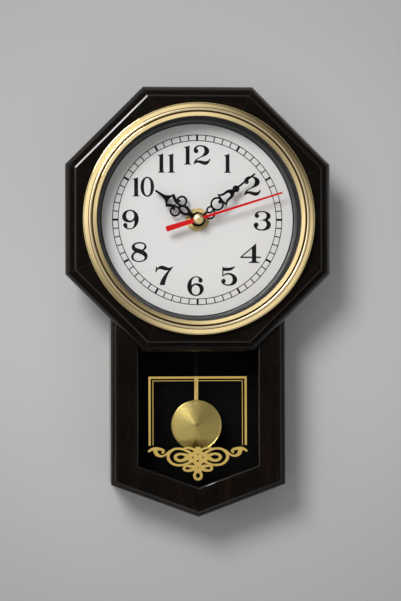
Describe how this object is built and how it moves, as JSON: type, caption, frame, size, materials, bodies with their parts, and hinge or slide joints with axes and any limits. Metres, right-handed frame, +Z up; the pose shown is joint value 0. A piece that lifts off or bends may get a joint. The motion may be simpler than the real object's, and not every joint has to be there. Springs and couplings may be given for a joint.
{
  "type": "octagonal drop wall clock",
  "caption": "Octagonal wooden wall clock with a pointed drop: brass bezel, numeral dial, ornate hands on a geared battery movement and a driven pendulum behind glass; hangs on a keyhole.",
  "frame": {"origin": "centre of the hanger's round entry hole, on the wall plane", "axes": "+Z up, the front faces -Y, +Y points out of the back into the wall, +X to the viewer's right"},
  "size_m": [0.188, 0.0558, 0.305],
  "materials": {
    "case_wood": "dark stained, semi-gloss lacquer",
    "hardboard": "bare hardboard",
    "glass": "clear",
    "steel": "zinc plated",
    "bezel_brass": "polished, plated",
    "small_brass": "polished",
    "pendulum_brass": "spun brushed",
    "black_ring": "gloss black",
    "dial_card": "printed card",
    "rubber": "matt",
    "hand_black": "satin black",
    "hand_red": "satin red",
    "movement_black": "fine moulded",
    "train_plastic": "moulded",
    "magnet": "sintered",
    "copper_wire": "enamelled wire",
    "board_green": "coated board",
    "cell_jacket": "plain printed jacket"
  },
  "bodies": {
    "case": {"octagon_front": "case_wood", "stave_top": "case_wood", "stave_upper_right": "case_wood", "stave_right": "case_wood", "stave_lower_right": "case_wood", "stave_lower_left": "case_wood", "stave_left": "case_wood", "stave_upper_left": "case_wood", "drop_side_left": "case_wood", "drop_side_right": "case_wood", "drop_foot_left": "case_wood", "drop_foot_right": "case_wood", "drop_front": "case_wood", "glazing_strips": "hardboard", "back_panel": "hardboard", "dial_board": "hardboard", "window_glass": "glass", "lens": "glass", "back_screws": "steel", "hanger_plate": "steel", "hanger_rivets": "steel", "bezel_screws": "steel", "dial_screws": "steel", "cover_screws": "steel", "swing_pin": "steel", "contact_positive": "steel", "contact_negative": "steel", "stator": "steel", "quartz_crystal": "steel", "bezel": "bezel_brass", "dial_washer": "small_brass", "dial_nut": "small_brass", "reflector_ring": "black_ring", "dial_face": "dial_card", "rubber_washer": "rubber", "movement_case": "movement_black", "movement_cover": "movement_black", "train_bridge": "train_plastic", "coil_bobbin": "train_plastic", "coil_winding": "copper_wire", "drive_coil": "copper_wire", "circuit_board": "board_green"},
    "second": {"second_wheel": "train_plastic", "second_hand": "hand_red", "second_cap": "small_brass"},
    "minute": {"centre_wheel": "train_plastic", "minute_hand": "hand_black"},
    "hour": {"hour_wheel": "train_plastic", "hour_hand": "hand_black"},
    "third": {"third_wheel": "train_plastic"},
    "step": {"step_wheel": "train_plastic"},
    "rotor": {"rotor_pinion": "train_plastic", "rotor_magnet": "magnet"},
    "motion": {"minute_wheel": "train_plastic"},
    "setting": {"set_knob": "movement_black"},
    "pendulum": {"swing_arm": "train_plastic", "swing_magnet": "magnet", "pendulum_rod": "pendulum_brass", "pendulum_bob": "pendulum_brass"},
    "cell": {"battery": "cell_jacket"}
  },
  "joints": [
    {"name": "second_spin", "type": "hinge", "parent": "case", "child": "second", "pos_m": [0, 0, -0.062], "axis": [0, 1, 0], "continuous": true},
    {"name": "minute_spin", "type": "hinge", "parent": "case", "child": "minute", "pos_m": [0, 0, -0.062], "axis": [0, 1, 0], "continuous": true},
    {"name": "hour_spin", "type": "hinge", "parent": "case", "child": "hour", "pos_m": [0, 0, -0.062], "axis": [0, 1, 0], "continuous": true},
    {"name": "third_spin", "type": "hinge", "parent": "case", "child": "third", "pos_m": [-0.00883, 0, -0.0569], "axis": [0, 1, 0], "continuous": true},
    {"name": "step_spin", "type": "hinge", "parent": "case", "child": "step", "pos_m": [0.0036, 0, -0.05576], "axis": [0, 1, 0], "continuous": true},
    {"name": "rotor_spin", "type": "hinge", "parent": "case", "child": "rotor", "pos_m": [0.00875, 0, -0.05062], "axis": [0, 1, 0], "continuous": true},
    {"name": "motion_spin", "type": "hinge", "parent": "case", "child": "motion", "pos_m": [0.00831, 0, -0.0668], "axis": [0, 1, 0], "continuous": true},
    {"name": "setting_spin", "type": "hinge", "parent": "case", "child": "setting", "pos_m": [0.01733, 0, -0.07008], "axis": [0, 1, 0], "continuous": true},
    {"name": "pendulum_swing", "type": "hinge", "parent": "case", "child": "pendulum", "pos_m": [0, 0, -0.104], "axis": [0, 1, 0], "range_deg": [-8, 8]},
    {"name": "cell_slide", "type": "slide", "parent": "case", "child": "cell", "axis": [0, 1, 0], "range_m": [0, 0.028]}
  ],
  "couplings": [
    {"joint": "minute_spin", "follows": "second_spin", "ratio": 0.016667},
    {"joint": "hour_spin", "follows": "second_spin", "ratio": 0.0013889},
    {"joint": "third_spin", "follows": "second_spin", "ratio": -0.13333},
    {"joint": "step_spin", "follows": "second_spin", "ratio": -5},
    {"joint": "rotor_spin", "follows": "second_spin", "ratio": 30},
    {"joint": "motion_spin", "follows": "second_spin", "ratio": -0.0055556},
    {"joint": "setting_spin", "follows": "second_spin", "ratio": 0.016667}
  ]
}
